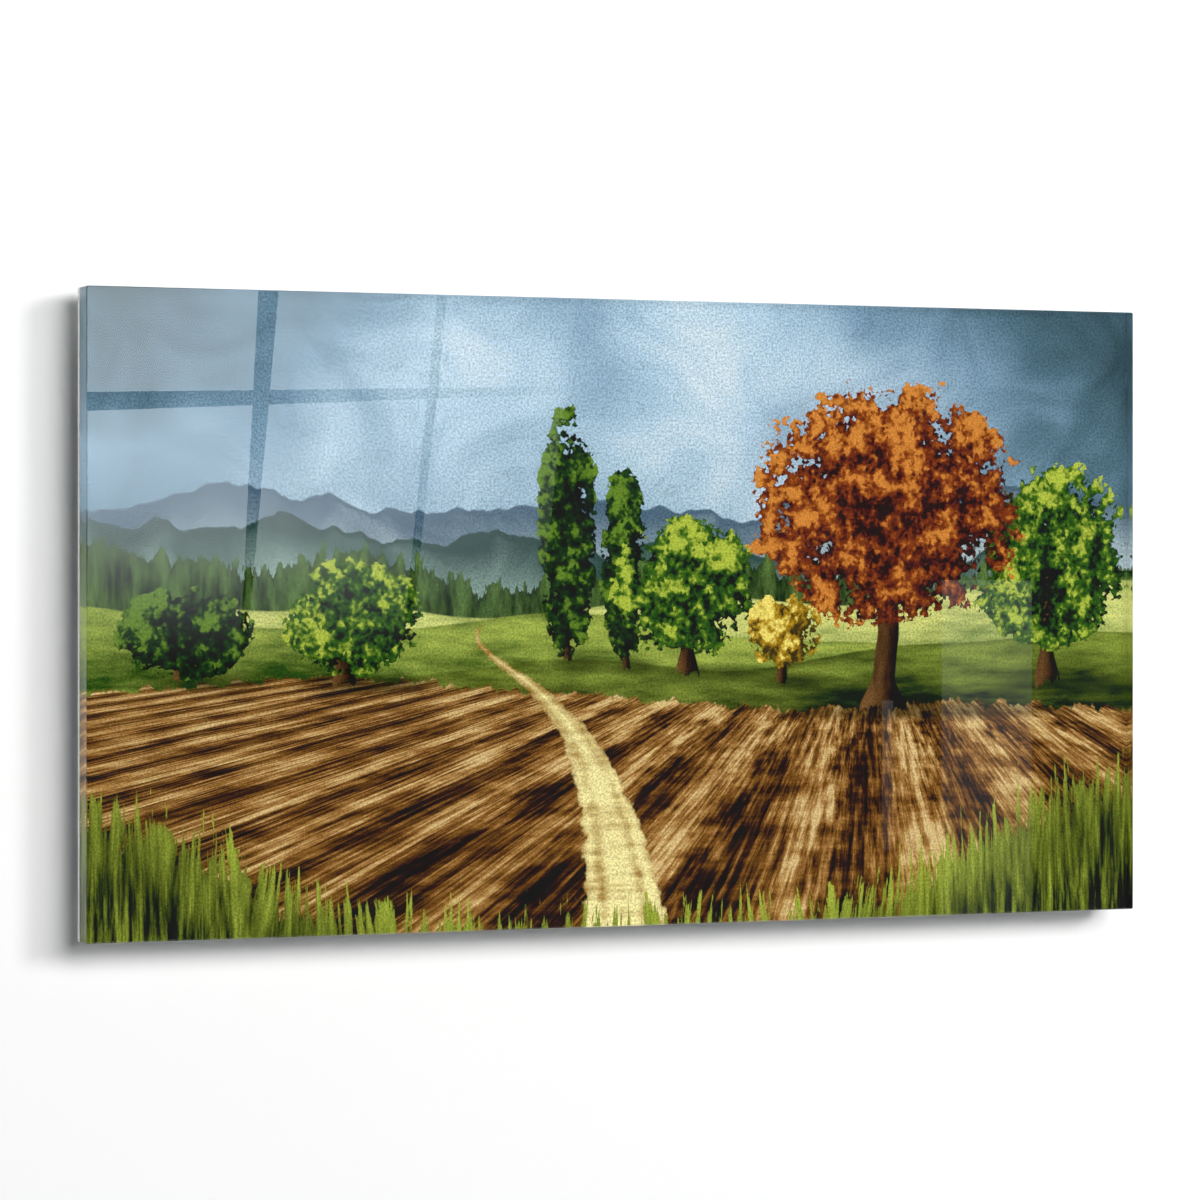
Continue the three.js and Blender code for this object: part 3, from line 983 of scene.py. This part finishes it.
skin_finish = lacquered_skin()
refinish("backing_front_skin", skin_finish)
refinish("backing_rear_skin", skin_finish)
refinish("backing_core", sawn_core())
print("board layers finished: 3")

# %% [markdown]
# ## The hanging frame
# A wall print of this weight hangs on a frame of aluminium channel set in from its edges. A rail is made as
# in the workshop: the section is pushed out along its length, a saw cuts both ends at 45 degrees, and every
# edge is broken with a small bevel. The four rails are one shape turned round the middle of the frame.

# %% Rails
RAIL_WALL = 1.5 * MM
RAIL_LIP = 5.0 * MM
RAIL_EDGE = 0.2 * MM
MITRE_GAP = 0.15 * MM
SHARP = radians(30.0)
rail_low, rail_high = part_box("rail_top")
rail_width, rail_depth = rail_high.z - rail_low.z, rail_high.y - rail_low.y
frame_low, frame_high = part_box("rail_bottom")[0], rail_high
frame_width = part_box("rail_right")[1].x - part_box("rail_left")[0].x
frame_height = frame_high.z - frame_low.z
frame_middle = Vector((0.0, 0.0, (frame_low.z + frame_high.z) / 2))
RAILS = [
    # side, turn, length, distance of the outer flange from the middle
    ("top", 0.0, frame_width, frame_height / 2),
    ("right", pi / 2, frame_height, frame_width / 2),
    ("bottom", pi, frame_width, frame_height / 2),
    ("left", -pi / 2, frame_height, frame_width / 2),
]


def channel_section():
    """Corners of the channel: distance in from the outer flange, and depth from the web."""
    inner = rail_depth - RAIL_WALL
    half = [(0.0, 0.0), (0.0, rail_depth), (RAIL_LIP, rail_depth)]
    half += [(RAIL_LIP, inner), (RAIL_WALL, inner), (RAIL_WALL, RAIL_WALL)]
    return half + [(rail_width - inward, depth) for inward, depth in reversed(half)]


def saw_end(bm, point, normal):
    """Cut off what lies beyond a plane and close the cut."""
    everything = bm.verts[:] + bm.edges[:] + bm.faces[:]
    cut = bmesh.ops.bisect_plane(bm, geom=everything, plane_co=point, plane_no=normal, clear_outer=True)
    rim = [item for item in cut["geom_cut"] if isinstance(item, bmesh.types.BMEdge)]
    bmesh.ops.contextual_create(bm, geom=rim)


def break_edges(bm, offset, segments=2):
    """A small bevel on every sharp edge."""
    bevel(bm, [edge for edge in bm.edges if edge.calc_face_angle(0.0) > SHARP], offset, segments)


def extruded(bm, points, way):
    """A flat outline pushed out along a way, closed at both ends."""
    outline = bm.faces.new([bm.verts.new(point) for point in points])
    made = bmesh.ops.extrude_face_region(bm, geom=[outline])
    moved = [item for item in made["geom"] if isinstance(item, bmesh.types.BMVert)]
    bmesh.ops.translate(bm, verts=moved, vec=way)
    bmesh.ops.holes_fill(bm, edges=[edge for edge in bm.edges if edge.is_boundary])
    bmesh.ops.recalc_face_normals(bm, faces=bm.faces)


def channel_rail(side, turn, length, reach):
    bm = bmesh.new()
    points = [(-length / 2, rail_low.y + depth, reach - inward) for inward, depth in channel_section()]
    extruded(bm, points, (length, 0, 0))
    for end in (-1, 1):
        saw_end(bm, (end * (length / 2 - MITRE_GAP), 0, reach), (end, 0, -1))
    bmesh.ops.recalc_face_normals(bm, faces=bm.faces)
    break_edges(bm, RAIL_EDGE)
    place = Matrix.Translation(frame_middle) @ Matrix.Rotation(turn, 4, "Y")
    bmesh.ops.transform(bm, verts=bm.verts, matrix=place)
    return new_piece(f"channel_rail_{side}", bm)


print("corners of the channel's section:", len(channel_section()))

# %% [markdown]
# ## Metal finishes
# Extruded aluminium shows fine lines along the way it left the die, and anodising makes it satin. The lines
# are a noise pattern drawn out along the rail. Zinc-plated steel has a mottled bloom instead, and a blackened
# screw shows bare metal where the key turned in it. All three take the handling marks.

# %% Metal finishes
def drawn_lines_group():
    """Fine lines along a direction: the place comes in already stretched."""
    outputs = {"Line": "Float", "Fine": "Float"}
    tree, sheet, start, end = effect_group("drawn_lines", {"Place": "Vector"}, outputs)
    sheet.feed(end["Line"], sheet.noise(start["Place"], 1.0, 2.0))
    sheet.feed(end["Fine"], sheet.noise(start["Place"], 4.0, 1.0))
    return tree


drawn_lines = drawn_lines_group()


def drawn_metal(name, stretch, dark, light, roughness, marks_scale):
    material, sheet, shader = new_material(name)
    place = object_place(sheet)
    lines = sheet.place(drawn_lines, Place=sheet.vector("MULTIPLY", place, stretch))
    marks = sheet.place(handling, Place=place, Scale=marks_scale)
    tone = sheet.total(sheet.scaled(lines["Line"], 0.6), sheet.scaled(marks["Smudge"], 0.7, -0.15))
    colour = sheet.ramp(tone, (0.3, dark), (0.75, light))
    colour = sheet.mix(sheet.scaled(marks["Scratch"], 0.6), colour, ink("eceef0"))
    grain = sheet.scaled(lines["Fine"], 0.14, roughness - 0.07)
    worn = sheet.total(grain, sheet.swing(marks["Smudge"], 0.1))
    sheet.feed_all(shader, {"Base Color": colour, "Roughness": worn, "Metallic": 1.0})
    sheet.feed_all(shader, {"Normal": sheet.bump(lines["Line"], 0.12, 0.1 * MM)})
    return material


rail_finishes = {
    "across": drawn_metal("anodised_across", (6.0, 900.0, 900.0), "a9adb1", "ced1d3", 0.34, 14.0),
    "upright": drawn_metal("anodised_upright", (900.0, 900.0, 6.0), "a9adb1", "ced1d3", 0.34, 14.0),
}
for side, turn, length, reach in RAILS:
    finish = rail_finishes["across" if side in ("top", "bottom") else "upright"]
    rail = finish_piece(channel_rail(side, turn, length, reach), "rail", finish, f"rail_{side}")
    print(rail.name, "faces:", len(rail.data.polygons))

# %% [markdown]
# ## Tape and keys
# Foam tape bonds the rails to the board, and a steel key holds each mitre from inside the channel. Both are
# plain stock, so their solids keep their shape and get a finish: foam with fine cells, and zinc plate with
# its mottled bloom.

# %% Tape and keys
CORNERS = ["top_right", "bottom_right", "bottom_left", "top_left"]


def foam_tape():
    material, sheet, shader = new_material("foam_tape")
    place = object_place(sheet)
    cells = sheet.add("TexVoronoi", {"Vector": place, "Scale": 1900.0}).outputs["Distance"]
    cloud = sheet.noise(place, 40.0, 2.0)
    tone = sheet.total(sheet.scaled(cells, 0.6), sheet.scaled(cloud, 0.6, -0.1))
    colour = sheet.ramp(tone, (0.2, "6f7172"), (0.8, "9a9c9c"))
    sheet.feed_all(shader, {"Base Color": colour, "Roughness": sheet.scaled(cells, 0.2, 0.75)})
    sheet.feed_all(shader, {"Normal": sheet.bump(cells, 0.4, 0.2 * MM)})
    return material


def zinc_plate():
    material, sheet, shader = new_material("zinc_plate")
    place = object_place(sheet)
    bloom = sheet.add("TexVoronoi", {"Vector": place, "Scale": 260.0}).outputs["Color"]
    crystal = sheet.add("SeparateColor", {"Color": bloom}).outputs[0]
    marks = sheet.place(handling, Place=place, Scale=30.0)
    tone = sheet.total(sheet.scaled(crystal, 0.35), sheet.scaled(marks["Smudge"], 0.8, -0.1))
    colour = sheet.ramp(tone, (0.2, "8b8c88"), (0.5, "a9aaa4"), (0.85, "c3c2b8"))
    colour = sheet.mix(sheet.scaled(marks["Scratch"], 0.6), colour, ink("e8e8e4"))
    sheet.feed_all(shader, {"Base Color": colour, "Metallic": 1.0})
    sheet.feed_all(shader, {"Roughness": sheet.scaled(crystal, 0.14, 0.36)})
    return material


tape_finish, key_finish = foam_tape(), zinc_plate()
for side, *_ in RAILS:
    refinish(f"tape_{side}", tape_finish)
for corner in CORNERS:
    refinish(f"corner_key_{corner}", key_finish)
print("tapes and keys finished:", len(RAILS) + len(CORNERS))

# %% [markdown]
# ## Grub screws
# Two grub screws jack each key tight in its channel. A screw is a short cylinder with broken rims. For the
# six-sided socket its end face is inset, the corners of the inset face are drawn onto a hexagon, and the
# face is pushed in.

# %% Screws
SCREW_BEVEL = 0.4 * MM
SCREW_SEGMENTS = 24
SOCKET_HALF = 1.0 * MM
SOCKET_DEPTH = 1.8 * MM
facing_wall = Matrix.Rotation(-pi / 2, 4, "X")


def grub_screw(node):
    low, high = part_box(node)
    radius, length = (high.x - low.x) / 2, high.y - low.y
    bm = bmesh.new()
    bmesh.ops.create_cone(
        bm, cap_ends=True, segments=SCREW_SEGMENTS, radius1=radius, radius2=radius, depth=length
    )
    break_edges(bm, SCREW_BEVEL, 1)
    end = max(bm.faces, key=lambda face: face.calc_center_median().z)
    bmesh.ops.inset_individual(bm, faces=[end], thickness=SCREW_BEVEL)
    for vert in end.verts:
        bearing = atan2(vert.co.y, vert.co.x)
        reach = SOCKET_HALF / cos(bearing % (pi / 3) - pi / 6)
        vert.co.xy = (reach * cos(bearing), reach * sin(bearing))
    socket = bmesh.ops.extrude_discrete_faces(bm, faces=[end])["faces"][0]
    bmesh.ops.translate(bm, verts=socket.verts, vec=(0, 0, -SOCKET_DEPTH))
    bmesh.ops.recalc_face_normals(bm, faces=bm.faces)
    place = Matrix.Translation((low + high) / 2) @ facing_wall
    bmesh.ops.transform(bm, verts=bm.verts, matrix=place)
    return new_piece(node.replace("key_screw", "grub_screw"), bm)


screw_finish = drawn_metal("blackened_screw", (1500.0, 200.0, 1500.0), "3a3b3e", "63656a", 0.38, 120.0)
for corner in CORNERS:
    for number in (1, 2):
        node = f"key_screw_{corner}_{number}"
        screw = finish_piece(grub_screw(node), "screw", screw_finish, node)
print("screw faces:", len(screw.data.polygons))

# %% [markdown]
# ## Bumpers
# A rubber bumper near each corner keeps the frame off the wall and stops it from swinging. It is a short
# length of moulded section: a foot inside the channel, a neck through its mouth, and a soft-edged head. Ribs
# on the head grip the wall: the head is sliced across, and every second slice is pressed in.

# %% Bumpers
BUMPER_FOOT_HALF = 9.2 * MM
BUMPER_NECK_HALF = 5.7 * MM
BUMPER_FOOT_REAR = 3.2 * MM
BUMPER_HEAD = 2.2 * MM
BUMPER_HEAD_HALF = 8.0 * MM
BUMPER_EDGE = 0.9 * MM
RIB_MARGIN = 0.6 * MM
RIB_DEPTH = 0.5 * MM
RIB_SLICES = 9


def bumper_section(low, high):
    half = [
        (BUMPER_FOOT_HALF, low.y), (BUMPER_FOOT_HALF, BUMPER_FOOT_REAR),
        (BUMPER_NECK_HALF, BUMPER_FOOT_REAR), (BUMPER_NECK_HALF, high.y - BUMPER_HEAD),
        (BUMPER_HEAD_HALF, high.y - BUMPER_HEAD), (BUMPER_HEAD_HALF, high.y),
    ]
    return half + [(-z, y) for z, y in reversed(half)]


def wall_bumper(node):
    low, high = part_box(node)
    middle_z = (low.z + high.z) / 2
    bm = bmesh.new()
    points = [(low.x, y, middle_z + z) for z, y in bumper_section(low, high)]
    extruded(bm, points, (high.x - low.x, 0, 0))
    pad = max(bm.faces, key=lambda face: face.calc_center_median().y)
    bevel(bm, pad.edges[:], BUMPER_EDGE, 4)
    pad = max(bm.faces, key=lambda face: face.calc_center_median().y)
    bmesh.ops.inset_individual(bm, faces=[pad], thickness=RIB_MARGIN)
    slice_area = pad.calc_area() / RIB_SLICES
    lengthwise = [edge for edge in pad.edges if abs(edge.verts[0].co.x - edge.verts[1].co.x) > MM]
    bmesh.ops.subdivide_edges(bm, edges=lengthwise, cuts=RIB_SLICES - 1, use_grid_fill=True)
    bm.normal_update()
    slices = [
        face for face in bm.faces
        if face.normal.y > 0.99 and isclose(face.calc_area(), slice_area, rel_tol=0.01)
    ]
    slices.sort(key=lambda face: face.calc_center_median().x)
    for groove in bmesh.ops.extrude_discrete_faces(bm, faces=slices[1::2])["faces"]:
        bmesh.ops.translate(bm, verts=groove.verts, vec=(0, -RIB_DEPTH, 0))
    bmesh.ops.recalc_face_normals(bm, faces=bm.faces)
    return new_piece(node.replace("bumper", "wall_bumper"), bm)


def bumper_rubber():
    material, sheet, shader = new_material("bumper_rubber")
    place = object_place(sheet)
    pores = sheet.noise(place, 1400.0, 3.0, 0.6)
    marks = sheet.place(handling, Place=place, Scale=60.0)
    dust = sheet.rise(marks["Smudge"], 0.45, 0.75)
    colour = sheet.mix(sheet.scaled(dust, 0.5), ink("1b1b1c"), ink("3c3b39"))
    sheet.feed_all(shader, {"Base Color": colour, "Roughness": sheet.scaled(dust, 0.2, 0.62)})
    sheet.feed_all(shader, {"Normal": sheet.bump(pores, 0.2, 0.1 * MM)})
    return material


rubber_finish = bumper_rubber()
for corner in CORNERS:
    node = f"bumper_{corner}"
    bumper = finish_piece(wall_bumper(node), "bumper", rubber_finish, node)
print("bumper faces:", len(bumper.data.polygons))

# %% [markdown]
# ## Measure and finish
# The size of the solids is printed. The dressed part may not be larger than its solids.

# %% Measure and finish
print("solids measure", [round(value, 4) for value in cad_high - cad_low])
